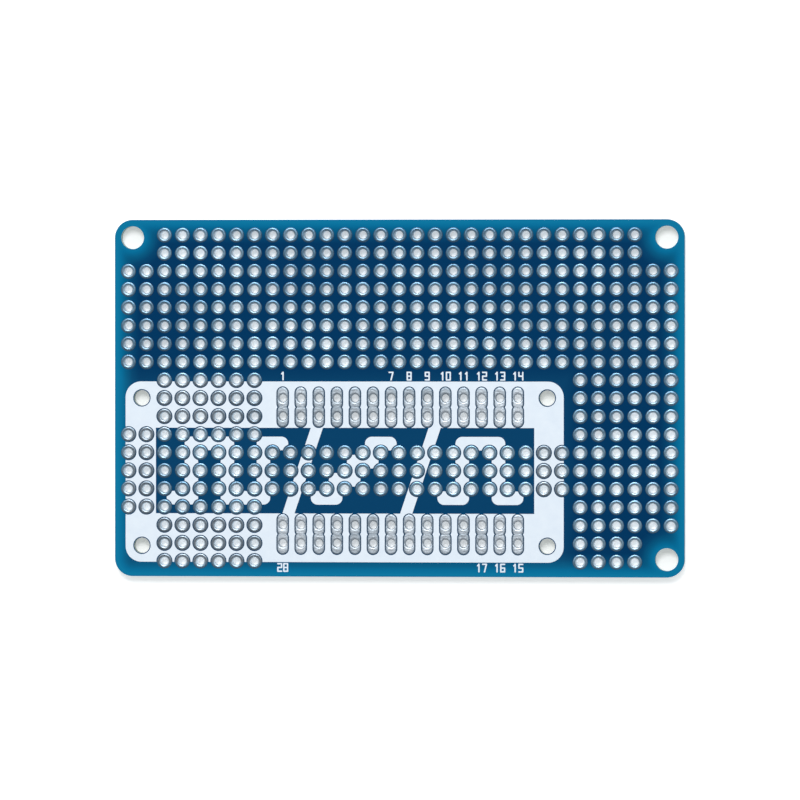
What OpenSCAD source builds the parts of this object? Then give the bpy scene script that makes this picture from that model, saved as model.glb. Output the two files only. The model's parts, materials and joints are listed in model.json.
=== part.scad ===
// Prototyping shield: a bare circuit board, drilled and plated for hand-soldered circuits.
// It is one pressed laminate with a solder mask coat on each face, white print on the
// component side, a field of plated holes on a 2.54 mm grid, and two rows of double pin
// pads for a plug-in module that sits over the white panel.
//
// Frame: origin at the middle of the underside, in the plane of the lowest pad faces.
// +X runs along the board towards the block of plated holes beside the panel, +Y towards
// the long edge with two screw holes, and +Z out of the component side.

/* [Board] */
// Length of the board, along X
board_length = 80; // [79:0.5:84]
// Width of the board, along Y
board_width = 50; // [49:0.5:54]
// Finished thickness, over both solder mask coats
board_thickness = 1.6; // [0.8:0.1:3.2]
// Radius of the board's corners
corner_r = 2.5; // [1:0.1:3]

/* [Coats] */
// Thickness of each solder mask coat
mask_thickness = 0.03; // [0.02:0.01:0.05]
// Thickness of the white print over the mask
print_thickness = 0.02; // [0.01:0.01:0.03]
// Height of a tinned pad over the laminate
pad_thickness = 0.08; // [0.06:0.01:0.12]
// Thickness of the plating on the wall of a hole
plating = 0.03; // [0.02:0.01:0.05]

/* [Plated holes] */
// Spacing of the hole grid and of the pins
pitch = 2.54; // [2.5:0.01:2.54]
// Finished diameter of a plated hole
hole_d = 1.1; // [0.9:0.05:1.1]
// Diameter of the round pad about a plated hole
pad_d = 2; // [1.8:0.05:2]
// Width of the mask's gap around a pad
mask_gap = 0.05; // [0.03:0.01:0.06]
// Width of the mask that shows between a pad's gap and the white print
print_gap = 0.09; // [0.08:0.01:0.1]

/* [Pin pads] */
// Number of pins in each row
pins_per_row = 14; // [2:1:14]
// Middle of the pin rows, along X
pin_rows_x = 0.17; // [0:0.01:0.4]
// Width of a pin pad
pin_pad_width = 1.5; // [1.4:0.05:1.6]
// Length of each of the two oblongs that a pin pad is made of
pin_oblong_length = 3.03; // [3:0.01:3.1]

/* [Screw holes] */
// Diameter of the board's own screw holes
screw_d = 3.2; // [2.5:0.1:3.4]
// Distance from a screw hole's middle to the board's two edges beside it
screw_inset = 2.5; // [2.5:0.1:2.6]
// Diameter of the four screw holes for the module
module_screw_d = 2.2; // [2:0.1:2.4]
// Width of the mask that shows around a module screw hole
module_screw_gap = 0.13; // [0.1:0.01:0.2]

/* [White panel] */
// Length of the panel, the outline of the module that goes over it
panel_length = 61.6; // [61:0.1:61.8]
// Width of the panel
panel_width = 25.3; // [25:0.1:25.4]
// Middle of the panel, along X
panel_x = -7.7; // [-7.8:0.1:-7.6]
// Middle of the panel, along Y
panel_y = -10.32; // [-10.4:0.02:-10.3]
// Radius of the panel's corners
panel_r = 2.2; // [1:0.1:2.4]
// Distance of the module's screw holes from the panel's middle, along X
module_screw_x = 28.5; // [28:0.1:28.8]
// Distance of the module's screw holes from the panel's middle, along Y
module_screw_y = 10.35; // [10:0.05:10.5]

/* [Print in the panel] */
// Length of the unprinted band through the middle of the panel
band_length = 53.2; // [53:0.1:53.4]
// Width of the band
band_width = 12; // [11.98:0.01:12.02]
// Middle of the band, along X
band_x = -7.62; // [-7.7:0.01:-7.6]
// Width of the slanted bars that part the band into three windows
bar_width = 1.7; // [1:0.1:2]
// Lean of the bars, from the band's lower edge to its upper edge
bar_lean = 4; // [0:0.5:5]
// Stroke of the stepped ornament in the windows
ornament_stroke = 1.9; // [1.6:0.1:2]

/* [Pin numbers] */
// Height of a numeral, between the middles of its strokes
numeral_height = 1.05; // [0.9:0.05:1.1]
// Stroke of a numeral
numeral_stroke = 0.2; // [0.15:0.01:0.25]
// Distance from the panel's edge to the middle of a line of numerals
numeral_offset = 0.76; // [0.72:0.02:0.9]

/* [Hidden] */
$fn = 48;
columns = 31;
rows = 19;
first_column = -pitch * (columns - 1) / 2;
first_row = pitch * (rows - 1) / 2;

// the rows of the grid that the pin pads sit on, counted from the top
upper_pin_row = 9;
lower_pin_row = 16;
pins = 2 * pins_per_row;

drill_d = hole_d + 2 * plating;
laminate_thickness = board_thickness - 2 * mask_thickness;
laminate_z = pad_thickness;
top_z = laminate_z + laminate_thickness;
print_z = top_z + mask_thickness;
pad_opening = pad_d + 2 * mask_gap;
print_opening = pad_opening + 2 * print_gap;

// the band lies midway between the two rows of pin pads
band_y = row_y((upper_pin_row + lower_pin_row + 1) / 2);

screw_x = board_length / 2 - screw_inset;
screw_y = board_width / 2 - screw_inset;
screws = [[-screw_x, screw_y], [screw_x, screw_y], [screw_x, -screw_y]];
module_screws = [for (x = [-1, 1], y = [-1, 1])
    [panel_x + x * module_screw_x, panel_y + y * module_screw_y]];

// the ornament steps along lines that run midway between the grid's columns and rows: each
// entry is a column and a row, and half a step puts a line between two holes
ornament = [
    [[2.5, 14.5], [3.5, 14.5], [3.5, 11.5], [5.5, 11.5], [5.5, 14.5], [7.5, 14.5], [7.5, 11.5],
        [8.5, 11.5]],
    [[10.5, 14.5], [11.5, 14.5], [11.5, 13.5], [12.5, 13.5], [12.5, 12.5], [13.5, 12.5],
        [13.5, 11.5], [14.5, 11.5]],
    [[17.5, 14.5], [18.5, 14.5], [18.5, 11.5], [20.5, 11.5], [20.5, 14.5], [21.5, 14.5]]
];

// each numeral as strokes on a lattice two steps wide and four high
numerals = [
    [[[0, 0], [2, 0], [2, 4], [0, 4], [0, 0]]],
    [[[0.5, 3.2], [1.2, 4], [1.2, 0]]],
    [[[0, 4], [2, 4], [2, 2], [0, 2], [0, 0], [2, 0]]],
    [[[0, 4], [2, 4], [2, 0], [0, 0]], [[0.6, 2], [2, 2]]],
    [[[0, 4], [0, 2], [2, 2]], [[2, 4], [2, 0]]],
    [[[2, 4], [0, 4], [0, 2], [2, 2], [2, 0], [0, 0]]],
    [[[2, 4], [0, 4], [0, 0], [2, 0], [2, 2], [0, 2]]],
    [[[0, 4], [2, 4], [1, 0]]],
    [[[0, 0], [2, 0], [2, 4], [0, 4], [0, 0]], [[0, 2], [2, 2]]],
    [[[2, 2], [0, 2], [0, 4], [2, 4], [2, 0], [0, 0]]]
];
numeral_step = numeral_height / 4;
numeral_advance = 3.2 * numeral_step;

function column_x(column) = first_column + pitch * column;
function row_y(row) = first_row - pitch * row;
function two_digits(n) = str(n < 10 ? "0" : "", n);
function row_name(row) = str("plated_row_", two_digits(row + 1));
function pin_name(pin) = str("pin_pad_", two_digits(pin + 1));

// the grid leaves out what the corner screws, the module's screws and the pin rows need
function by_corner_screw(column, row) =
    (row < 2 && (column < 2 || column > columns - 3)) || (row > rows - 3 && column > columns - 3);
function by_module_screw(column, row) = column < 2 && ((row > 7 && row < 11) || row > 15);
function in_pin_strip(column, row) =
    column > 7 && column < 25 && ((row > 7 && row < 12) || row > 14);
function is_drilled(column, row) =
    !by_corner_screw(column, row) && !by_module_screw(column, row) && !in_pin_strip(column, row);
function holes_in_row(row) =
    [for (column = [0 : columns - 1]) if (is_drilled(column, row)) [column_x(column), row_y(row)]];
function all_grid_holes() = [for (row = [0 : rows - 1]) each holes_in_row(row)];

// pins 1 to 14 run left to right along the upper row, 15 to 28 back along the lower row
function pin_is_upper(pin) = pin < pins_per_row;
function pin_column(pin) = pin_is_upper(pin) ? pin : pins - 1 - pin;
function pin_x(pin) = pin_rows_x + pitch * (pin_column(pin) - (pins_per_row - 1) / 2);
function pin_y(pin) = row_y((pin_is_upper(pin) ? upper_pin_row : lower_pin_row) + 0.5);
function pin_holes(pin) = [for (side = [-1, 1]) [pin_x(pin), pin_y(pin) + side * pitch / 2]];

// ---- outlines ----

module at_points(points) {
    for (point = points) translate(point) children();
}

module rounded_rectangle(length, width, r) {
    square([length - 2 * r, width], center = true);
    square([length, width - 2 * r], center = true);
    for (x = [-1, 1], y = [-1, 1])
        translate([x * (length / 2 - r), y * (width / 2 - r)]) circle(r);
}

module oblong(width, length) {
    square([width, length - width], center = true);
    for (side = [-1, 1]) translate([0, side * (length - width) / 2]) circle(d = width);
}

// a pin pad's outline: two oblongs that run into each other, with a waist between
module pin_pad_outline(margin = 0) {
    for (side = [-1, 1])
        translate([0, side * pitch / 2])
            oblong(pin_pad_width + 2 * margin, pin_oblong_length + 2 * margin);
}

module board_outline() {
    difference() {
        rounded_rectangle(board_length, board_width, corner_r);
        at_points(screws) circle(d = screw_d);
        at_points(module_screws) circle(d = module_screw_d);
    }
}

// a polyline drawn with a round pen
module pen_line(points, stroke) {
    for (point = points) translate(point) circle(d = stroke, $fn = 24);
    for (i = [1 : len(points) - 1]) {
        run = points[i] - points[i - 1];
        translate((points[i] + points[i - 1]) / 2)
            rotate(atan2(run.y, run.x)) square([norm(run), stroke], center = true);
    }
}

module print_clearances() {
    at_points(all_grid_holes()) circle(d = print_opening);
    for (pin = [0 : pins - 1])
        translate([pin_x(pin), pin_y(pin)]) pin_pad_outline(mask_gap + print_gap);
    at_points(module_screws) circle(d = module_screw_d + 2 * module_screw_gap);
}

module slanted_bar() {
    polygon([
        [-bar_lean / 2 - bar_width / 2, -band_width / 2],
        [-bar_lean / 2 + bar_width / 2, -band_width / 2],
        [bar_lean / 2 + bar_width / 2, band_width / 2],
        [bar_lean / 2 - bar_width / 2, band_width / 2]
    ]);
}

// ---- the laminate and its coats ----

module pressed_laminate() {
    color([0.72, 0.74, 0.52])
        translate([0, 0, laminate_z])
            linear_extrude(laminate_thickness)
                difference() {
                    board_outline();
                    at_points(all_grid_holes()) circle(d = drill_d);
                    for (pin = [0 : pins - 1]) at_points(pin_holes(pin)) circle(d = drill_d);
                }
}

module solder_mask(z) {
    color([0.02, 0.25, 0.42])
        translate([0, 0, z])
            linear_extrude(mask_thickness)
                difference() {
                    board_outline();
                    at_points(all_grid_holes()) circle(d = pad_opening);
                    for (pin = [0 : pins - 1])
                        translate([pin_x(pin), pin_y(pin)]) pin_pad_outline(mask_gap);
                }
}

module solder_mask_top() solder_mask(top_z);

module solder_mask_bottom() solder_mask(laminate_z - mask_thickness);

// ---- the white print ----

module printed() {
    color([0.93, 0.95, 0.97])
        translate([0, 0, print_z])
            linear_extrude(print_thickness)
                children();
}

// the module's outline, printed solid but for a band of three windows
module white_panel() {
    printed() difference() {
        union() {
            difference() {
                translate([panel_x, panel_y])
                    rounded_rectangle(panel_length, panel_width, panel_r);
                translate([band_x, band_y]) square([band_length, band_width], center = true);
            }
            for (x = [-band_length / 9, band_length / 5])
                translate([band_x + x, band_y]) slanted_bar();
        }
        print_clearances();
    }
}

module white_ornament() {
    printed() difference() {
        for (path = ornament)
            pen_line([for (step = path) [column_x(step.x), row_y(step.y)]], ornament_stroke);
        print_clearances();
    }
}

// a whole number, centred on the middle of its strokes
module number_print(n) {
    digits = n < 10 ? [n] : [floor(n / 10), n % 10];
    for (i = [0 : len(digits) - 1])
        translate([(i - (len(digits) - 1) / 2) * numeral_advance - numeral_step, -numeral_height / 2])
            for (stroke = numerals[digits[i]]) pen_line(stroke * numeral_step, numeral_stroke);
}

// the first pin's number stands over its pad and the rest over the right half of the row;
// the lower row has the last pin's number and three from its other end
module white_numerals() {
    numbered = [1, 7, 8, 9, 10, 11, 12, 13, 14, 15, 16, 17, 28];
    printed()
        for (n = numbered) {
            side = pin_is_upper(n - 1) ? 1 : -1;
            translate([pin_x(n - 1), panel_y + side * (panel_width / 2 + numeral_offset)])
                number_print(n);
        }
}

// ---- plated holes and pin pads ----

module plated_row(row) {
    color([0.75, 0.77, 0.79])
        at_points(holes_in_row(row)) difference() {
            union() {
                cylinder(d = drill_d, h = laminate_thickness + 2 * pad_thickness);
                for (z = [0, top_z]) translate([0, 0, z]) cylinder(d = pad_d, h = pad_thickness);
            }
            translate([0, 0, -1])
                cylinder(d = hole_d, h = laminate_thickness + 2 * pad_thickness + 2);
        }
}

module pin_pad(pin) {
    color([0.75, 0.77, 0.79])
        difference() {
            union() {
                at_points(pin_holes(pin))
                    cylinder(d = drill_d, h = laminate_thickness + 2 * pad_thickness);
                for (z = [0, top_z])
                    translate([pin_x(pin), pin_y(pin), z])
                        linear_extrude(pad_thickness) pin_pad_outline();
            }
            at_points(pin_holes(pin)) translate([0, 0, -1])
                cylinder(d = hole_d, h = laminate_thickness + 2 * pad_thickness + 2);
        }
}

pressed_laminate();
solder_mask_top();
solder_mask_bottom();
white_panel();
white_ornament();
white_numerals();
for (row = [0 : rows - 1])
    plated_row(row);
for (pin = [0 : pins - 1])
    pin_pad(pin);
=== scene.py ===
# %% [markdown]
# # A bare prototyping board, seen from above
# The real object is a flat circuit board with nothing soldered to it yet. A glass and epoxy
# panel is drilled, the holes are lined with copper and tinned, both faces get a thin coat of
# blue solder mask, and white ink is printed over the mask on the component side.
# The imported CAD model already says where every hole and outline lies. This lesson keeps those
# places and models each material again with finer curves, rounded tin and real surfaces.

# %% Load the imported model
import json
import math
import random

import bmesh
import bpy
import numpy as np
from mathutils import Matrix, Vector, noise


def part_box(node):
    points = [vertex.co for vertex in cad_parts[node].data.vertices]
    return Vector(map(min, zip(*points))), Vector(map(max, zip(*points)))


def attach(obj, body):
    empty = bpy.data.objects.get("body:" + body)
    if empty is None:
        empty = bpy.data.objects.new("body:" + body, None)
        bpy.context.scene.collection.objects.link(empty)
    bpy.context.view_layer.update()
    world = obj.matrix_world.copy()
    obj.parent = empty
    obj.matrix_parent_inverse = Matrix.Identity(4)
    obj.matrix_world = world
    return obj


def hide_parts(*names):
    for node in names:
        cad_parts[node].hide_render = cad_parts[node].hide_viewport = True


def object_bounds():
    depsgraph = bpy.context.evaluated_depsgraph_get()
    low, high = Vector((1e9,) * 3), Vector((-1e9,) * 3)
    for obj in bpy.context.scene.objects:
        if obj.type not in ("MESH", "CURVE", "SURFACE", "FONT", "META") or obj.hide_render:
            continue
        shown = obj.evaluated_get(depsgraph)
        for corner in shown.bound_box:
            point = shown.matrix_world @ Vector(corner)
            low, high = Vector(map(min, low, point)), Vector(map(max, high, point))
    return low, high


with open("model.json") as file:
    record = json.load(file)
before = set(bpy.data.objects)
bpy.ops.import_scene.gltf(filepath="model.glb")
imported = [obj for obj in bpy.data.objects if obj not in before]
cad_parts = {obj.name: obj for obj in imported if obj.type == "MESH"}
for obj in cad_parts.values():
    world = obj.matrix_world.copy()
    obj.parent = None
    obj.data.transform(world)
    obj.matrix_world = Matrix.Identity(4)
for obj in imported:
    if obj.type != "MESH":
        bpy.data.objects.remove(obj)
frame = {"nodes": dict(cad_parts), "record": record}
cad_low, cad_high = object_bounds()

mm = 0.001
print("CAD size in mm:", [round(side / mm, 2) for side in cad_high - cad_low])

# %% [markdown]
# ## Where things are
# A board is a stack of thin layers, so its heights matter as much as its outline. They are read
# from the CAD nodes: the laminate's two faces and the outer face of each mask coat. The print
# keeps its CAD pieces, so its height isn't needed.

# %% Heights and outline, from the frame
laminate_low, laminate_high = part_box("pressed_laminate")
mask_top_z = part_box("solder_mask_top")[1].z
mask_bottom_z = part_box("solder_mask_bottom")[0].z

half_length, half_width = laminate_high.x, laminate_high.y
corner_radius = 2.5 * mm
print("the laminate is", round((laminate_high.z - laminate_low.z) / mm, 2), "mm thick")

# %% [markdown]
# ## Where the holes are
# The holes could be listed by hand, but the CAD rows already hold them. The pads of a row stand
# apart, so a gap in x between two vertices marks the space between two pads. A double pad has a
# hole half a pitch above its middle and another half a pitch below. The screw holes are in the
# record, as patterns that other parts can bolt to.

# %% Plated holes
pitch = 2.54 * mm
pads_apart = 0.4 * mm
micrometre_digits = 6


def row_holes(node):
    """The middles of the plated holes in one CAD row."""
    vertices = frame["nodes"][node].data.vertices
    xs = np.array(sorted({round(v.co.x, micrometre_digits) for v in vertices}))
    breaks = np.flatnonzero(np.diff(xs) > pads_apart)
    firsts, lasts = np.r_[0, breaks + 1], np.r_[breaks, len(xs) - 1]
    low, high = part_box(node)
    return [Vector((x, (low.y + high.y) / 2)) for x in (xs[firsts] + xs[lasts]) / 2]


def pin_middle(node):
    """The middle of a double pad, halfway between its two holes."""
    low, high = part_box(node)
    return ((low + high) / 2).xy


rows = {name: row_holes(name) for name in sorted(frame["nodes"]) if name.startswith("plated_row")}
pins = {name: pin_middle(name) for name in sorted(frame["nodes"]) if name.startswith("pin_pad")}
grid_holes = [hole for holes in rows.values() for hole in holes]
pin_holes = [middle + Vector((0, side * pitch / 2)) for middle in pins.values() for side in (-1, 1)]
print(len(grid_holes), "grid holes,", len(pin_holes), "pin holes")


# %% Screw holes
def screw_holes(mount):
    """The middles and the radius of the holes in one of the record's screw patterns."""
    dims = mount["dims"]
    across = dims.get("spacing_x_mm", 0) * mm / 2
    along = dims.get("spacing_y_mm", 0) * mm / 2
    x, y, _ = mount["pos_m"]
    middles = {(x + i * across, y + j * along) for i in (-1, 1) for j in (-1, 1)}
    radius = dims["hole_r_mm"] * mm
    return {tuple(round(side, micrometre_digits) for side in middle): radius for middle in middles}


screws = {}
for mount in frame["record"]["mounts"]:
    if mount["kind"] == "bolt_pattern":
        screws.update(screw_holes(mount))
print(len(screws), "screw holes, radii in mm:", sorted({round(r / mm, 2) for r in screws.values()}))

# %% [markdown]
# ## Flat sheets with many openings
# The laminate and the two coats of mask are flat sheets with upright walls and almost five
# hundred openings each. A filled curve could draw one, but its mesh has no way to keep two
# openings apart when they meet. Cutting is simpler: the sheet and its cutters are closed
# prisms, and one boolean takes them all away. The manifold solver needs only a moment for
# hundreds of cutters, and what it leaves is closed too.

# %% Outlines as lists of points
circle_steps = 32
drill_steps = 24
screw_steps = 64
corner_steps = 16


def circle(middle, radius, steps=circle_steps):
    """Counter-clockwise, from the +X side."""
    turns = [2 * math.pi * i / steps for i in range(steps)]
    return [(middle[0] + radius * math.cos(t), middle[1] + radius * math.sin(t)) for t in turns]


def rounded_rectangle(half_x, half_y, radius, steps=corner_steps):
    """Counter-clockwise, with an arc in each corner."""
    points = []
    for corner, (sx, sy) in enumerate(((1, -1), (1, 1), (-1, 1), (-1, -1))):
        for i in range(steps + 1):
            turn = math.pi / 2 * (corner - 1 + i / steps)
            x = sx * (half_x - radius) + radius * math.cos(turn)
            y = sy * (half_y - radius) + radius * math.sin(turn)
            points.append((x, y))
    return points


board_outline = rounded_rectangle(half_length, half_width, corner_radius)
screw_outlines = [circle(middle, radius, screw_steps) for middle, radius in screws.items()]
print("the board's outline has", len(board_outline), "points")

# %% Prisms
smooth_below = math.radians(40)


def link(name, mesh):
    """A new object in the scene that shows the mesh."""
    piece = bpy.data.objects.new(name, mesh)
    bpy.context.scene.collection.objects.link(piece)
    return piece


def smooth(mesh):
    """Shades walls round where the faces turn gently, and keeps every corner crisp."""
    mesh.shade_smooth()
    mesh.set_sharp_from_angle(angle=smooth_below)


def prisms(name, outlines, low, high):
    """One closed mesh with an upright prism on each outline, from z = low to z = high."""
    verts, faces = [], []
    for outline in outlines:
        first, n = len(verts), len(outline)
        verts += [(x, y, low) for x, y in outline] + [(x, y, high) for x, y in outline]
        faces.append([first + i for i in reversed(range(n))])
        faces.append([first + n + i for i in range(n)])
        for i in range(n):
            j = (i + 1) % n
            faces.append([first + i, first + j, first + n + j, first + n + i])
    mesh = bpy.data.meshes.new(name)
    mesh.from_pydata(verts, [], faces)
    return link(name, mesh)


print("faces that meet at under", round(math.degrees(smooth_below)), "degrees are shaded round")

# %% A sheet with its openings cut out
overcut = 1 * mm


def sheet(name, outline, openings, low, high):
    """A flat sheet from z = low to z = high with every opening cut through it."""
    piece = prisms(name, [outline], low, high)
    cutter = prisms("cutter", openings, low - overcut, high + overcut)
    change = piece.modifiers.new("openings", "BOOLEAN")
    change.operation, change.solver, change.object = "DIFFERENCE", "MANIFOLD", cutter
    solid = piece.evaluated_get(bpy.context.evaluated_depsgraph_get())
    whole, piece.data = piece.data, bpy.data.meshes.new_from_object(solid)
    piece.modifiers.clear()
    for spent in (whole, cutter.data):
        bpy.data.meshes.remove(spent)
    piece.data.name = name
    smooth(piece.data)
    return piece


print("cutters run", round(overcut / mm, 1), "mm past each face")

# %% [markdown]
# ## Where the lands end
# A grid hole has a round land. A pin pad is two oblongs in line that run into each other, so it
# has a small waist between its two holes. The mask stops a hair short of every land, because a
# coat that crept over the metal would spoil the soldering. Going round each hole by angle gives
# the land's edge and the mask's edge from one rule.

# %% Sizes of the lands
hole_radius = 0.55 * mm
drill_radius = 0.58 * mm
land_radius = 1.0 * mm
mask_gap = 0.05 * mm
oblong_half_width = 0.75 * mm
oblong_half_length = 1.515 * mm
oblong_straight = oblong_half_length - oblong_half_width
print("a round land is", round((land_radius - hole_radius) / mm, 2), "mm wide round its hole")

# %% Outline of a pin pad
pin_side_steps = 34


def half_waist(margin=0.0):
    """Half the width of a pin pad at its waist, where its two oblongs cross."""
    return math.sqrt((oblong_half_width + margin) ** 2 - (pitch / 2 - oblong_straight) ** 2)


def waist_turn(margin=0.0):
    """The direction from a pin pad's upper hole to its waist."""
    return math.atan2(-pitch / 2, half_waist(margin))


def oblong_reach(turn, margin=0.0):
    """How far an oblong grown by margin reaches from its middle in one direction."""
    radius = oblong_half_width + margin
    along, across = abs(math.sin(turn)), abs(math.cos(turn))
    if across * oblong_straight >= along * radius:
        return radius / across
    return oblong_straight * along + math.sqrt(radius**2 - (oblong_straight * across) ** 2)


def pin_side_turns(margin=0.0):
    """Directions round the land of a pin pad's upper hole, from waist to waist."""
    start = waist_turn(margin)
    sweep = math.pi - 2 * start
    return [start + sweep * i / pin_side_steps for i in range(pin_side_steps + 1)]


def pin_outline(middle, margin):
    """The outline of a whole pin pad, grown by margin: its upper half, turned for the lower."""
    points = []
    for side in (1, -1):
        for turn in pin_side_turns(margin)[:-1]:
            reach = oblong_reach(turn, margin)
            x, y = side * reach * math.cos(turn), side * (reach * math.sin(turn) + pitch / 2)
            points.append((middle[0] + x, middle[1] + y))
    return points


print("a pin pad is", round(2 * oblong_half_width / mm, 2), "mm wide and",
      round(2 * half_waist() / mm, 2), "mm at its waist")

# %% Laminate and mask
drills = [circle(hole, drill_radius, drill_steps) for hole in grid_holes + pin_holes]
laminate = sheet("glass_laminate", board_outline, screw_outlines + drills,
                 laminate_low.z, laminate_high.z)

openings = [circle(hole, land_radius + mask_gap) for hole in grid_holes]
openings += [pin_outline(middle, mask_gap) for middle in pins.values()]
mask_top = sheet("mask_component_side", board_outline, screw_outlines + openings,
                 laminate_high.z, mask_top_z)
mask_bottom = sheet("mask_underside", board_outline, screw_outlines + openings,
                    mask_bottom_z, laminate_low.z)
for piece in (laminate, mask_top, mask_bottom):
    print(piece.name, "has", len(piece.data.polygons), "faces")

# %% [markdown]
# ## Tin on copper
# Each hole is an eyelet: a copper tube through the board with a flat land on either face, all
# dipped in molten tin. Surface tension pulls the tin into a low dome over the land, thin at the
# land's edge, and rolls it over into the hole. A bevelled cylinder would catch one hard ring of
# light. Here the height of the tin is a formula of two distances, to the hole and to the edge,
# so the same lines shape the round lands and the long pin pads. A little noise keeps any two
# from being twins: the hot air that blows the tin level never does it evenly.

# %% The height of the tin over the laminate
copper_height = 0.035 * mm
full_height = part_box("plated_row_01")[1].z - laminate_high.z
mouth_width = 0.2 * mm
mouth_depth = 0.16 * mm
shoulder_width = 0.13 * mm


def tin_height(to_hole, to_edge, fill):
    """Height over the laminate. fill is the share of the full dome that this spot has."""
    dome = math.sin(math.pi / 2 * min(max(to_edge, 0.0) / shoulder_width, 1.0))
    lip = 1.0 - min(max(to_hole, 0.0) / mouth_width, 1.0)
    roll = mouth_depth * (1.0 - math.sqrt(1.0 - lip * lip))
    return copper_height + (full_height - copper_height) * dome * fill - roll


land_width = land_radius - hole_radius
for away in (0.0, 0.05, 0.15, 0.3, 0.45):
    height = tin_height(away * mm, land_width - away * mm, 1.0)
    print(away, "mm from the hole the tin is", round(height / mm, 3), "mm high")

# %% [markdown]
# ## An eyelet from rings
# A lathe or a Screw modifier would turn a perfect ring, but these need a free height at every
# spot and, on the pin pads, a land that isn't round. So rings of points go over the upper land,
# down the barrel, over the lower land and back through the drilled hole, and faces bridge each
# ring to the next. The rings lie closest on the mouth, where the surface turns fastest.

# %% Where the rings lie
mouth_shares = (0.0, 0.08, 0.4, 1.0)


def land_distances(reach, land_rings):
    """Distances from the barrel out to the land's edge."""
    steps = [mouth_width * share for share in mouth_shares]
    rest = reach - mouth_width
    return steps + [mouth_width + rest * (i + 1) / land_rings for i in range(land_rings)]


print("rings on the mouth, in mm:", [round(mouth_width * share / mm, 3) for share in mouth_shares])


# %% One eyelet
def eyelet(verts, faces, hole, turns, reaches, fill, to_edge, land_rings, joined=()):
    """Adds one plated hole to verts and faces.

    turns and reaches say how far the land goes in each direction. fill(x, y, side) is the
    tin's share of its full dome, and to_edge(x, y) the distance to the land's edge. At the
    steps in joined the land runs on into the next hole's land, and has no wall.
    """
    ways = [Vector((math.cos(turn), math.sin(turn))) for turn in turns]
    distances = [land_distances(reach - hole_radius, land_rings) for reach in reaches]

    def level(radii, z):
        return [(*(hole + way * radius), z) for way, radius in zip(ways, radii)]

    def tinned(step, side):
        base, points = (laminate_high.z if side > 0 else laminate_low.z), []
        for way, steps in zip(ways, distances):
            spot = hole + way * (hole_radius + steps[step])
            height = tin_height(steps[step], to_edge(*spot), fill(*spot, side))
            points.append((*spot, base + side * height))
        return points

    steps = range(len(distances[0]))
    drill = [drill_radius] * len(ways)
    rings = [level(reaches, laminate_high.z)]
    rings += [tinned(step, 1) for step in reversed(steps)] + [tinned(step, -1) for step in steps]
    rings += [level(reaches, laminate_low.z), level(drill, laminate_low.z)]
    rings += [level(drill, laminate_high.z)]

    first, n = len(verts), len(ways)
    walls = (0, 2 * len(steps))
    for k, ring in enumerate(rings):
        verts.extend(ring)
        here, there = first + k * n, first + (k + 1) % len(rings) * n
        for i in range(n):
            j = (i + 1) % n
            if not (k in walls and i in joined):
                faces.append((here + i, here + j, there + j, there + i))


print("the barrel's wall is", round((drill_radius - hole_radius) / mm, 2), "mm thick")

# %% One piece from many eyelets
weld_distance = 0.0005 * mm


def tin_piece(name, verts, faces):
    """One mesh from all the eyelets of a piece, welded where two lands join."""
    mesh = bpy.data.meshes.new(name)
    mesh.from_pydata(verts, [], faces)
    welded = bmesh.new()
    welded.from_mesh(mesh)
    bmesh.ops.remove_doubles(welded, verts=welded.verts, dist=weld_distance)
    bmesh.ops.recalc_face_normals(welded, faces=welded.faces)
    welded.to_mesh(mesh)
    welded.free()
    smooth(mesh)
    return link(name, mesh)


print("points closer than", round(weld_distance / mm, 4), "mm are welded")

# %% [markdown]
# ## The grid's nineteen rows
# All eyelets of one row are one piece, as they are one node in the frame. Each gets its own
# lean, as if the board hung a little tilted when it left the tin, and a slow ripple. The dice
# are seeded with the row's name, so every run throws the same numbers.

# %% Uneven tin
ripple_size = 0.45 * mm
noise_span = 50


def noise_shift(dice):
    """A random place in the noise, so that no two pieces share their lumps."""
    return Vector((dice.random(), dice.random(), dice.random())) * noise_span


def to_share(value):
    """Turns a value from -1 to 1 into a share from 0 to 1, held at both ends."""
    return 0.5 + 0.5 * min(max(value, -1), 1)


def uneven_tin(dice, hole, lean, ripple):
    """How full the dome is at a spot: a lean to one side, and a ripple."""
    away = dice.uniform(0, 2 * math.pi)
    depth = dice.uniform(0, lean)
    shift = noise_shift(dice)

    def fill(x, y, side):
        low_side = ((x - hole.x) * math.cos(away) + (y - hole.y) * math.sin(away)) / land_radius
        wave = noise.noise(Vector((x, y, 0)) / ripple_size + shift * side)
        return 1 - depth * to_share(low_side) - ripple * to_share(wave)

    return fill


print("the tin ripples about every", round(ripple_size / mm, 2), "mm")

# %% Round lands
round_steps = 24
round_land_rings = 5
largest_lean, largest_ripple = 0.5, 0.3


def round_eyelet(verts, faces, dice, hole):
    """Adds one hole of the grid, with a lean and ripple of its own."""
    turns = [2 * math.pi * i / round_steps for i in range(round_steps)]
    fill = uneven_tin(dice, hole, largest_lean, largest_ripple)

    def to_edge(x, y):
        return land_radius - math.hypot(x - hole.x, y - hole.y)

    eyelet(verts, faces, hole, turns, [land_radius] * round_steps, fill, to_edge,
           round_land_rings)


tin_pieces = {}
for node, holes in rows.items():
    dice = random.Random(node)
    verts, faces = [], []
    for hole in holes:
        round_eyelet(verts, faces, dice, hole)
    tin_pieces[node] = tin_piece(node.replace("plated_row", "tinned_row"), verts, faces)
print(len(tin_pieces), "rows,", sum(len(p.data.polygons) for p in tin_pieces.values()), "faces")

# %% [markdown]
# ## The pin pads
# A pin pad has a wider sea of tin, so it sets in wrinkles instead of one clean dome. Its upper
# half is an eyelet whose land is an oblong and whose lowest steps stop at the line midway
# between the holes. The lower half is the same, turned half round, and the two weld there.

# %% Distance and wrinkles on a pin pad
wrinkle_size = 0.2 * mm
wrinkle_depths = (0.25, 0.45)
slow_across = 0.6


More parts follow.
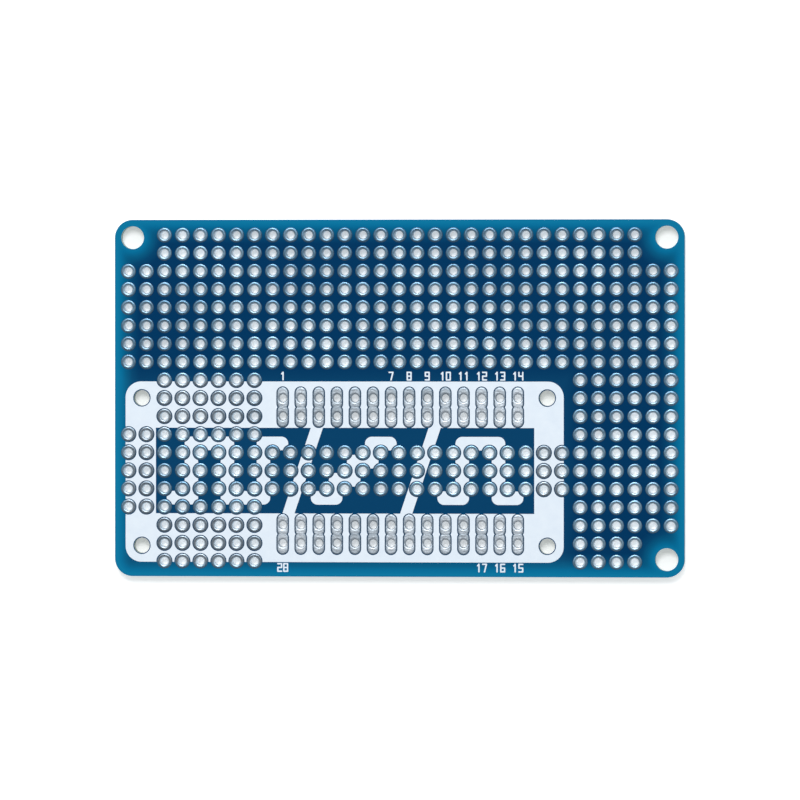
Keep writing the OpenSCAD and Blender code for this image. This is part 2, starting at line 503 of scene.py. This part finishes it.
def pin_to_edge(middle):
    """Distance inward from a pin pad's outline, as the deeper of its two oblongs."""

    def to_edge(x, y):
        across, depths = abs(x - middle.x), []
        for side in (-1, 1):
            along = abs(y - middle.y - side * pitch / 2)
            spine = max(along - oblong_straight, 0.0)
            depths.append(oblong_half_width - math.hypot(across, spine))
        return max(depths)

    return to_edge


def wrinkled_tin(dice):
    """How full a pin pad is at a spot: wrinkles that run mostly across the pad."""
    shift = noise_shift(dice)
    deep = dice.uniform(*wrinkle_depths)

    def fill(x, y, side):
        at = Vector((x * slow_across, y, 0)) / wrinkle_size
        wave = noise.noise(at + shift * side) + 0.5 * noise.noise(at * 2 + shift * side)
        return 1 - deep * to_share(wave)

    return fill


print("the wrinkles lie about", round(wrinkle_size / mm, 2), "mm apart")

# %% Both halves of a pin pad
pin_land_rings = 8
pin_middle_steps = 8


def pin_pad(name, middle):
    """A whole pin pad: its upper half, and the same half turned round for the lower one."""
    dice = random.Random(name)
    fill, to_edge = wrinkled_tin(dice), pin_to_edge(middle)
    side_turns = pin_side_turns()
    gap = 2 * math.pi - (side_turns[-1] - side_turns[0])
    middle_turns = [side_turns[-1] + gap * i / pin_middle_steps for i in range(1, pin_middle_steps)]
    reaches = [oblong_reach(turn) for turn in side_turns]
    reaches += [pitch / 2 / abs(math.sin(turn)) for turn in middle_turns]
    joined = range(pin_side_steps, pin_side_steps + pin_middle_steps)
    verts, faces = [], []
    for half_turn in (0, math.pi):
        hole = middle + Vector((0, math.cos(half_turn) * pitch / 2))
        turns = [turn + half_turn for turn in side_turns + middle_turns]
        eyelet(verts, faces, hole, turns, reaches, fill, to_edge, pin_land_rings, joined)
    return tin_piece(name.replace("pin_pad", "tinned_pin_pad"), verts, faces)


for node, middle in pins.items():
    tin_pieces[node] = pin_pad(node, middle)
print(len(pins), "pin pads,", sum(len(tin_pieces[n].data.polygons) for n in pins), "faces")

# %% Is every piece of tin closed?
open_edges = 0
for piece in tin_pieces.values():
    test = bmesh.new()
    test.from_mesh(piece.data)
    open_edges += sum(not edge.is_manifold for edge in test.edges)
    test.free()
print(len(tin_pieces), "pieces of tin with", open_edges, "open edges")

# %% [markdown]
# ## Building finishes from nodes
# Every surface here is painted by shader nodes and needs no image. A short helper adds a node,
# applies its settings and joins its inputs in order, which keeps each recipe readable.

# %% Adding nodes
def add(tree, kind, *inputs, **settings):
    """Adds a node. Each input is a socket to join, a value to set, or None to leave alone."""
    node = tree.nodes.new("ShaderNode" + kind)
    for name, value in settings.items():
        setattr(node, name, value)
    for socket, value in zip(node.inputs, inputs):
        if isinstance(value, bpy.types.NodeSocket):
            tree.links.new(value, socket)
        elif value is not None:
            socket.default_value = value
    return node


def maths(tree, operation, *values):
    """The result of a Math node, as a socket."""
    return add(tree, "Math", *values, operation=operation).outputs[0]


def finish(name, **values):
    """A new material with a Principled shader. Returns the material, its tree and the shader."""
    material = bpy.data.materials.new(name)
    material.use_nodes = True
    shader = material.node_tree.nodes["Principled BSDF"]
    for socket, value in values.items():
        shader.inputs[socket.replace("_", " ")].default_value = value
    return material, material.node_tree, shader


def bump(tree, shader, height, distance):
    """Bends the shader's light as if the surface rose by height times distance, in metres."""
    relief = add(tree, "Bump", None, distance, None, height)
    tree.links.new(relief.outputs[0], shader.inputs["Normal"])


print("helpers that add nodes:", [helper.__name__ for helper in (add, maths, finish, bump)])

# %% [markdown]
# ## Painting by place
# Some finishes change from spot to spot: the mask near a rim, the tin near the edge of a land.
# Painting by hand needs an image and a layout for it. Here the object's own coordinates are
# measured instead, in metres, so a finish keeps its size and stays put when the camera moves.

# %% Where a spot is
def place(tree):
    """The spot on the piece, in metres from the board's origin."""
    return add(tree, "TexCoord").outputs["Object"]


def sides_of(tree):
    """The x, y and z of the spot, each as a socket."""
    return add(tree, "SeparateXYZ", place(tree)).outputs


def diagonal(tree, across, along):
    """The straight distance over a step across and a step along."""
    squares = [maths(tree, "MULTIPLY", side, side) for side in (across, along)]
    return maths(tree, "SQRT", maths(tree, "ADD", *squares))


def cloud(tree, size, detail=2.0, stretch=(1, 1, 1)):
    """Soft noise from 0 to 1 whose lumps are about size across."""
    at = add(tree, "Mapping", place(tree), None, None, [1 / size / s for s in stretch])
    return add(tree, "TexNoise", at.outputs[0], None, 1.0, detail).outputs[0]


def beyond(tree, middle, half_sides):
    """How far a spot lies outside a rectangle, with less than 0 inside it."""
    spot = sides_of(tree)
    gaps = []
    for axis in (0, 1):
        away = maths(tree, "ABSOLUTE", maths(tree, "SUBTRACT", spot[axis], middle[axis]))
        gaps.append(maths(tree, "SUBTRACT", away, half_sides[axis]))
    return maths(tree, "MAXIMUM", *gaps)


def inside(tree, middle, half_sides):
    """1 within a rectangle, and 0 outside it."""
    return maths(tree, "LESS_THAN", beyond(tree, middle, half_sides), 0.0)


def on_top(tree):
    """1 on the component side, and 0 on the underside."""
    return maths(tree, "GREATER_THAN", sides_of(tree)[2], laminate_high.z / 2)


print("a spot counts as on top above", round(laminate_high.z / 2 / mm, 2), "mm")


# %% Noise and colours
def ramp(tree, factor, stops):
    """A colour ramp with its stops given as {position: colour}."""
    node = add(tree, "ValToRGB", factor)
    elements = node.color_ramp.elements
    for element, (position, colour) in zip(elements, stops.items()):
        element.position, element.color = position, (*colour, 1)
    for position, colour in list(stops.items())[2:]:
        elements.new(position).color = (*colour, 1)
    return node.outputs[0]


def spread(tree, factor, low, high):
    """Stretches a factor of 0 to 1 over the span from low to high."""
    return add(tree, "MapRange", factor, 0.0, 1.0, low, high).outputs[0]


def from_screen(red, green, blue):
    """The scene's linear colour for a colour given in screen values from 0 to 255."""
    shares = [value / 255 for value in (red, green, blue)]
    return tuple(s / 12.92 if s <= 0.04045 else ((s + 0.055) / 1.055) ** 2.4 for s in shares)


print("screen grey 128 is", round(from_screen(128, 128, 128)[0], 3), "in the scene")

# %% [markdown]
# ## The mask that glows at its rim
# Solder mask is a dyed epoxy lacquer, glossy and a little uneven, thin enough to let light
# through. Under the middle of the board it looks deep blue. Near a cut edge, light soaks into
# the pale laminate from the side and comes back up, so the last few millimetres turn teal. True
# scattering would find that by itself, but slowly and with noise. A ramp over the distance to
# the rim paints the same glow, and it stays put from every angle. The screw holes let light in
# too, a little less of it, so their distance gets a head start. The white print sends some of
# its light sideways into the mask, which is a touch paler around the panel and in its windows.

# %% Distance to the nearest cut edge
screw_head_start = 0.45 * mm
glow_reach = 4.0 * mm
glows_blend_over = 1.5 * mm
wide_screw = 1.5 * mm
corner_screws = [hole for hole, radius in screws.items() if radius > wide_screw]


def rim_distance(tree):
    """Distance inward from the board's rounded outline, at each spot of its faces."""
    spot = sides_of(tree)
    sides = []
    for socket, half in ((spot[0], half_length), (spot[1], half_width)):
        size = maths(tree, "ABSOLUTE", socket)
        sides.append(maths(tree, "SUBTRACT", size, half - corner_radius))
    corner = diagonal(tree, *(maths(tree, "MAXIMUM", side, 0.0) for side in sides))
    straight = maths(tree, "MINIMUM", maths(tree, "MAXIMUM", *sides), 0.0)
    return maths(tree, "SUBTRACT", corner_radius, maths(tree, "ADD", corner, straight))


def glow_distance(tree):
    """Distance to the nearest place where light gets into the laminate."""
    nearest = rim_distance(tree)
    for x, y in corner_screws:
        flat = add(tree, "VectorMath", place(tree), (1, 1, 0), operation="MULTIPLY").outputs[0]
        away = add(tree, "VectorMath", flat, (x, y, 0), operation="DISTANCE").outputs["Value"]
        hole = maths(tree, "SUBTRACT", away, screws[x, y] - screw_head_start)
        nearest = maths(tree, "SMOOTH_MIN", nearest, hole, glows_blend_over)
    return nearest


print(len(corner_screws), "corner screw holes let light in too")

# %% Solder mask
panel_low, panel_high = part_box("white_panel")
panel_middle = (panel_low + panel_high) / 2
panel_half_sides = (panel_high - panel_low) / 2
ink_light_reach = 2.0 * mm
ink_light_colour = (0.002, 0.016, 0.025, 1)
lacquer_ripple, lacquer_relief = 0.5 * mm, 0.002 * mm

mask, tree, shader = finish("solder_mask", Roughness=0.14, IOR=1.5, Specular_IOR_Level=0.25)
share = maths(tree, "DIVIDE", glow_distance(tree), glow_reach)
glow = ramp(tree, share, {
    0.1: from_screen(12, 120, 161),
    0.23: from_screen(5, 110, 153),
    0.38: from_screen(6, 93, 132),
    0.6: from_screen(5, 70, 110),
    0.85: from_screen(2, 56, 97),
})
# painted light: the white print's light spills sideways and makes the mask paler by the panel
from_panel = beyond(tree, panel_middle, panel_half_sides)
ink_light = add(tree, "MapRange", from_panel, 0.0, ink_light_reach, 1.0, 0.0).outputs[0]
ink_light = maths(tree, "MULTIPLY", ink_light, on_top(tree))
paler = add(tree, "MixRGB", ink_light, glow, ink_light_colour, blend_type="ADD").outputs[0]
tree.links.new(paler, shader.inputs["Base Color"])
bump(tree, shader, cloud(tree, lacquer_ripple, 3.0), lacquer_relief)
print("the mask's glow fades over", round(glow_reach / mm, 1), "mm")

# %% [markdown]
# ## White ink
# The print is a coat of epoxy ink pushed through a screen. It is matte beside the mask, faintly
# blue because the coat is thin, and the screen's mesh leaves it slightly grained. Its outlines
# in the frame are already right, so the CAD pieces stay and only get a finish.

# %% Ink
thin_patch = 1.5 * mm
screen_grain, ink_relief = 0.12 * mm, 0.003 * mm

ink, tree, shader = finish("white_ink", Roughness=0.5, IOR=1.5)
tint = ramp(tree, cloud(tree, thin_patch, 4.0), {
    0.3: from_screen(231, 242, 252),
    0.7: from_screen(237, 247, 255),
})
tree.links.new(tint, shader.inputs["Base Color"])
bump(tree, shader, cloud(tree, screen_grain, 2.0), ink_relief)
print("the print's finish is", ink.name)

# %% [markdown]
# ## Glass and epoxy
# The laminate shows only where nothing covers it: on the routed rim, in the screw holes and in
# the hair's breadth around each pad. It is pressed from plies of glass cloth, so a cut edge has
# fine level bands, and the ends of the yarns make it fuzzy.

# %% Laminate
ply = 0.19 * mm
ply_wobble, wobble_length = 0.15 * ply, 0.8 * mm
yarn, fuzz_relief = 0.07 * mm, 0.012 * mm
edge_share = 0.6
# the flat faces show only in the gap round each pad; their colour is partly the epoxy's own darker
# face and partly painted shade of that narrow gap
face_colour_and_gap_shade = from_screen(58, 78, 84)

glass, tree, shader = finish("glass_and_epoxy", Roughness=0.62, IOR=1.52)
wobble = spread(tree, cloud(tree, wobble_length, 3.0), -ply_wobble, ply_wobble)
plies = maths(tree, "MULTIPLY", maths(tree, "ADD", sides_of(tree)[2], wobble), 2 * math.pi / ply)
band = spread(tree, maths(tree, "SINE", plies), 0.42, 0.58)
yarns = cloud(tree, yarn, 3.0, stretch=(1, 1, 0.35))
edge = maths(tree, "MULTIPLY", maths(tree, "ADD", band, yarns), edge_share)
edge_colour = ramp(tree, edge, {
    0.35: from_screen(142, 154, 138),
    0.6: from_screen(184, 196, 185),
    0.8: from_screen(210, 220, 211),
})
upright = add(tree, "SeparateXYZ", add(tree, "NewGeometry").outputs["Normal"]).outputs[2]
is_face = maths(tree, "GREATER_THAN", maths(tree, "ABSOLUTE", upright), 0.5)
# flat faces take the darker colour with its painted gap shade, cut edges the ply bands
colour = add(tree, "MixRGB", is_face, edge_colour, (*face_colour_and_gap_shade, 1)).outputs[0]
tree.links.new(colour, shader.inputs["Base Color"])
bump(tree, shader, edge, fuzz_relief)
print("the laminate shows", round((laminate_high.z - laminate_low.z) / ply), "plies at its edge")

# %% [markdown]
# ## Dull tin
# Tin that was blown level in hot air sets dull and slightly grained. The shader is fully
# metallic, so its base colour is the colour of its reflections. Noise moves the roughness, which
# makes some spots milky and others bright, and a fine bump breaks up the rest. The bath doesn't
# treat a whole board alike, so the tone changes slowly at random; it is also paler towards -Y.

# %% Tone over the board
region_size = 12 * mm
region_swing = (-0.9, 1.4)
tone_at_far_edge, tone_at_near_edge = -0.05, 0.7


def region_tone(tree):
    """0 to 1 over the board: paler towards the edge at -Y, and uneven."""
    y = sides_of(tree)[1]
    slope = add(tree, "MapRange", y, half_width, -half_width, tone_at_far_edge, tone_at_near_edge)
    regions = spread(tree, cloud(tree, region_size, 1.0), *region_swing)
    return maths(tree, "ADD", slope.outputs[0], regions)


print("the tone changes about every", round(region_size / mm), "mm")

# %% [markdown]
# ## Round lands with a painted reflection at their edge
# Towards the edge of a land the tin thins out, and a painted reflection and shade darkens it
# outwards: to blue amid the mask, and to grey amid the ink. A ring painted hole by hole would
# take hundreds of nodes. Coordinates wrapped at the pitch repeat one ring at every hole.

# %% Tone of a round land
window_half_sides = (26.6 * mm, 6.0 * mm)


def land_reflection_tone(tree):
    """Painted reflection: white in a hole, darker to the land's edge, blue on mask, grey on ink."""
    spot = sides_of(tree)
    x, y = (maths(tree, "WRAP", spot[axis], pitch / 2, -pitch / 2) for axis in (0, 1))
    away = diagonal(tree, x, y)
    share = add(tree, "MapRange", away, hole_radius, land_radius).outputs[0]
    # painted reflection and shade of the mask and of the ink, darker towards the land's edge
    mask_reflection = ramp(tree, share, {
        0.0: (1.0, 1.0, 1.0),
        0.12: (0.83, 0.86, 0.87),
        0.35: (0.35, 0.46, 0.53),
        0.78: (0.28, 0.42, 0.52),
        1.0: (0.17, 0.3, 0.42),
    })
    ink_reflection = ramp(tree, share, {
        0.0: (1.0, 1.0, 1.0),
        0.12: (0.8, 0.82, 0.83),
        0.35: (0.37, 0.39, 0.41),
        1.0: (0.32, 0.355, 0.39),
    })
    panel = inside(tree, panel_middle, panel_half_sides)
    windows = inside(tree, panel_middle, window_half_sides)
    amid_ink = maths(tree, "MULTIPLY", maths(tree, "SUBTRACT", panel, windows), on_top(tree))
    return add(tree, "MixRGB", amid_ink, mask_reflection, ink_reflection).outputs[0]


print("windows in the ink, in mm:", [round(2 * side / mm, 1) for side in window_half_sides])


# %% [markdown]
# ## Pin pads with a painted grey edge
# All pin pads lie amid the ink, so their edge gets a painted grey reflection of it. They hold more
# tin, which sets paler and in wrinkles. Along a row they repeat at the pitch, the two rows mirror
# each other, and so do the two halves of a pad. So one wrap and three folds bring every hole onto
# one, and a single distance from its middle line serves them all.

# %% Tone of a pin pad
def pin_reflection_tone(tree):
    """Painted reflection: white along a pin pad, grey at its edge, with every hole folded onto one.
    """
    spot = sides_of(tree)
    upper, lower = pins["pin_pad_01"], pins["pin_pad_15"]
    across = maths(tree, "SUBTRACT", spot[0], upper.x)
    across = maths(tree, "WRAP", across, pitch / 2, -pitch / 2)
    along = spot[1]
    for fold in ((upper.y + lower.y) / 2, (upper.y - lower.y) / 2, pitch / 2):
        along = maths(tree, "ABSOLUTE", maths(tree, "SUBTRACT", along, fold))
    end = maths(tree, "MAXIMUM", maths(tree, "SUBTRACT", along, oblong_straight), 0.0)
    away = diagonal(tree, across, end)
    share = add(tree, "MapRange", away, 0.0, oblong_half_width).outputs[0]
    # painted reflection of the ink: grey at the pad's edge
    return ramp(tree, share, {
        0.5: (1.0, 1.0, 1.0),
        0.8: (0.92, 0.96, 1.0),
        1.0: (0.44, 0.5, 0.55),
    })


rows_apart = pins["pin_pad_01"].y - pins["pin_pad_15"].y
print("the pin rows are", round(rows_apart / mm, 2), "mm apart")


# %% Two finishes of tin
spot_size, spot_swing = 0.35 * mm, 0.3
dull_spot_size = 0.22 * mm
fold_size, fold_stretch = 0.3 * mm, (2.2, 1, 1)
grain_size, grain_height = 0.09 * mm, 0.006 * mm


def tin_finish(name, dark, pale, shine, wrinkles, shade):
    """Tin between two tones, with shine as its roughness span and wrinkles in metres."""
    material, tree, shader = finish(name, Metallic=1.0)
    spots = spread(tree, cloud(tree, spot_size, 4.0), -spot_swing, spot_swing)
    tone = ramp(tree, maths(tree, "ADD", region_tone(tree), spots), {0.1: dark, 0.9: pale})
    # the shade multiplies in the painted reflection and shade at the edge of each land
    tone = add(tree, "VectorMath", tone, shade(tree), operation="MULTIPLY").outputs[0]
    tree.links.new(tone, shader.inputs["Base Color"])
    dullness = spread(tree, cloud(tree, dull_spot_size, 3.0), *shine)
    tree.links.new(dullness, shader.inputs["Roughness"])
    folds = spread(tree, cloud(tree, fold_size, 2.0, fold_stretch), 0.0, wrinkles)
    grain = spread(tree, cloud(tree, grain_size, 3.0), 0.0, grain_height)
    bump(tree, shader, maths(tree, "ADD", folds, grain), 1.0)
    return material


tin = tin_finish("dull_tin", from_screen(178, 200, 216), from_screen(236, 247, 255),
                 (0.26, 0.46), 0.006 * mm, land_reflection_tone)
wrinkled = tin_finish("wrinkled_tin", from_screen(168, 180, 189), from_screen(206, 214, 221),
                      (0.35, 0.6), 0.03 * mm, pin_reflection_tone)
print("two finishes:", tin.name, "and", wrinkled.name)

# %% [markdown]
# ## Fastening everything to the frame
# The board has no moving parts, so every piece rides on its one body. A finer piece replaces
# the CAD node that it was made from, which is hidden, and gets a finish of its own.

# %% Pieces, finishes and slots
def settle(piece, node, material):
    """Gives a piece its finish and puts it in its CAD node's place."""
    piece.data.materials.clear()
    piece.data.materials.append(material)
    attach(piece, "root")
    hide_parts(node)


settle(laminate, "pressed_laminate", glass)
settle(mask_top, "solder_mask_top", mask)
settle(mask_bottom, "solder_mask_bottom", mask)
for node, piece in tin_pieces.items():
    settle(piece, node, tin if node in rows else wrinkled)
for node in ("white_panel", "white_ornament", "white_numerals"):
    for slot in frame["nodes"][node].material_slots:
        slot.material = ink

# %% [markdown]
# ## Table, light and camera
# A board is looked at flat on a white table. Metal shows whatever is around it, so the light is
# planned for the tin first: a wide soft lamp beyond the far long edge lights every slope that
# faces it, and the sky is dark straight overhead, as it is under a real camera. That dark patch
# also keeps the glossy mask deep blue. The far sky is brighter than the near sky, as beside a
# window, so each hole has a bright near lip and a dark far lip. Holes would look black over a
# plain table, since hardly any light reaches it through them, so the table gives off a little
# light of its own to the camera and to reflections, less of it under the wide screw holes. It
# is clear from below, so that the underside can be looked at, and it lights that side too.

# %% Table
table_reach = 3.0
table_drop = 0.01 * mm

table_mesh = bpy.data.meshes.new("table")
corners = [(x * table_reach, y * table_reach, -table_drop) for x, y in
           ((-1, -1), (1, -1), (1, 1), (-1, 1))]
table_mesh.from_pydata(corners, [], [(0, 1, 2, 3)])
table = link("table", table_mesh)
print("the table reaches", table_reach, "m each way")

# %% What the table gives off
table_colour = 0.86
table_glow = 0.47
glow_under_screws = 0.34
glow_for_underside = 0.8
glow_colour = (0.96, 0.99, 1, 1)

paper = bpy.data.materials.new("table_top")
paper.use_nodes = True
tree = paper.node_tree
tree.nodes.remove(tree.nodes["Principled BSDF"])
matte = add(tree, "BsdfDiffuse", (table_colour, table_colour, table_colour, 1))
seen = add(tree, "LightPath").outputs
direct = maths(tree, "MAXIMUM", seen["Is Camera Ray"], seen["Is Glossy Ray"])
direct = maths(tree, "MAXIMUM", direct, seen["Is Transmission Ray"])
under_screws = 0.0
for (x, y), radius in screws.items():
    away = add(tree, "VectorMath", place(tree), (x, y, -table_drop), operation="DISTANCE")
    near = maths(tree, "LESS_THAN", away.outputs["Value"], radius)
    under_screws = maths(tree, "ADD", near, under_screws)
glow = add(tree, "MapRange", under_screws, 0.0, 1.0, table_glow, glow_under_screws).outputs[0]
seen_glow = maths(tree, "MULTIPLY", direct, glow)
under_board = inside(tree, (0, 0), (half_length, half_width))
covered = maths(tree, "SUBTRACT", under_board, under_screws)
upward = maths(tree, "MULTIPLY", seen["Is Diffuse Ray"], covered)
upward = maths(tree, "MULTIPLY", upward, glow_for_underside)
glimmer = add(tree, "Emission", glow_colour, maths(tree, "ADD", seen_glow, upward))
lit = add(tree, "AddShader", matte.outputs[0], glimmer.outputs[0])
clear = add(tree, "BsdfTransparent")
underneath = add(tree, "NewGeometry").outputs["Backfacing"]
top_only = add(tree, "MixShader", underneath, lit.outputs[0], clear.outputs[0])
tree.links.new(top_only.outputs[0], tree.nodes["Material Output"].inputs["Surface"])
table.data.materials.append(paper)
print("the table's glow is", table_glow, "and", glow_under_screws, "under the screw holes")

# %% Sky
# the dark patch lies where a flat spot of tin mirrors the camera, and a little to the far side
patch_lean_left = math.radians(5)
patch_lean_far = math.radians(5)
sky_near, sky_far = 0.35, 1.3

sky = bpy.data.worlds.new("soft_sky")
bpy.context.scene.world = sky
sky.use_nodes = True
tree = sky.node_tree
patch = Vector((-math.tan(patch_lean_left), math.tan(patch_lean_far), 1)).normalized()
direction = add(tree, "TexCoord").outputs["Generated"]
near_patch = add(tree, "VectorMath", direction, patch, operation="DOT_PRODUCT").outputs["Value"]
light = ramp(tree, near_patch, {
    0.0: (1.0, 1.0, 1.0),
    0.5: (0.95, 0.97, 1.0),
    0.75: (0.62, 0.65, 0.7),
    0.88: (0.28, 0.3, 0.33),
    0.97: (0.04, 0.045, 0.05),
})
far = add(tree, "SeparateXYZ", direction).outputs[1]
strength = add(tree, "MapRange", far, -1.0, 1.0, sky_near, sky_far).outputs[0]
tree.links.new(light, tree.nodes["Background"].inputs["Color"])
tree.links.new(strength, tree.nodes["Background"].inputs["Strength"])
print("the sky is", round(sky_far / sky_near, 1), "times as bright on the far side")


# %% Lamp
def soft_lamp(name, azimuth, elevation, distance, size, power):
    """A square lamp that looks at the board from a direction given in degrees."""
    lamp = bpy.data.lights.new(name, "AREA")
    lamp.size, lamp.energy = size, power
    turn, rise = math.radians(azimuth), math.radians(elevation)
    towards = Vector((math.cos(turn) * math.cos(rise), math.sin(turn) * math.cos(rise),
                      math.sin(rise)))
    stand = bpy.data.objects.new(name, lamp)
    stand.location = towards * distance
    stand.rotation_euler = towards.to_track_quat("Z", "Y").to_euler()
    bpy.context.scene.collection.objects.link(stand)


soft_lamp("far_lamp", azimuth=97, elevation=62, distance=0.8, size=0.3, power=3.4)
print("lamps:", [lamp.name for lamp in bpy.data.lights])

# %% Camera
camera_distance = 0.998
lean_right = math.radians(4.88)
lean_far = math.radians(0.53)
lens = 321
film_width = 36
nearest_seen, farthest_seen = 0.01, 20
aim = Vector((0.16 * mm, -0.25 * mm, cad_high.z))

view = bpy.data.cameras.new("overhead")
view.lens, view.sensor_width = lens, film_width
view.clip_start, view.clip_end = nearest_seen, farthest_seen
back = Vector((math.sin(lean_right), math.sin(lean_far), 0))
back.z = math.sqrt(1 - back.length_squared)
right = Vector((0, 1, 0)).cross(back).normalized()
up = back.cross(right)
camera = bpy.data.objects.new("overhead", view)
turned = Matrix((right, up, back)).transposed().to_4x4()
camera.matrix_world = Matrix.Translation(aim + back * camera_distance) @ turned
bpy.context.scene.collection.objects.link(camera)
bpy.context.scene.camera = camera
bpy.context.scene.view_settings.view_transform = "Standard"
print("camera at", [round(c, 4) for c in camera.matrix_world.translation])
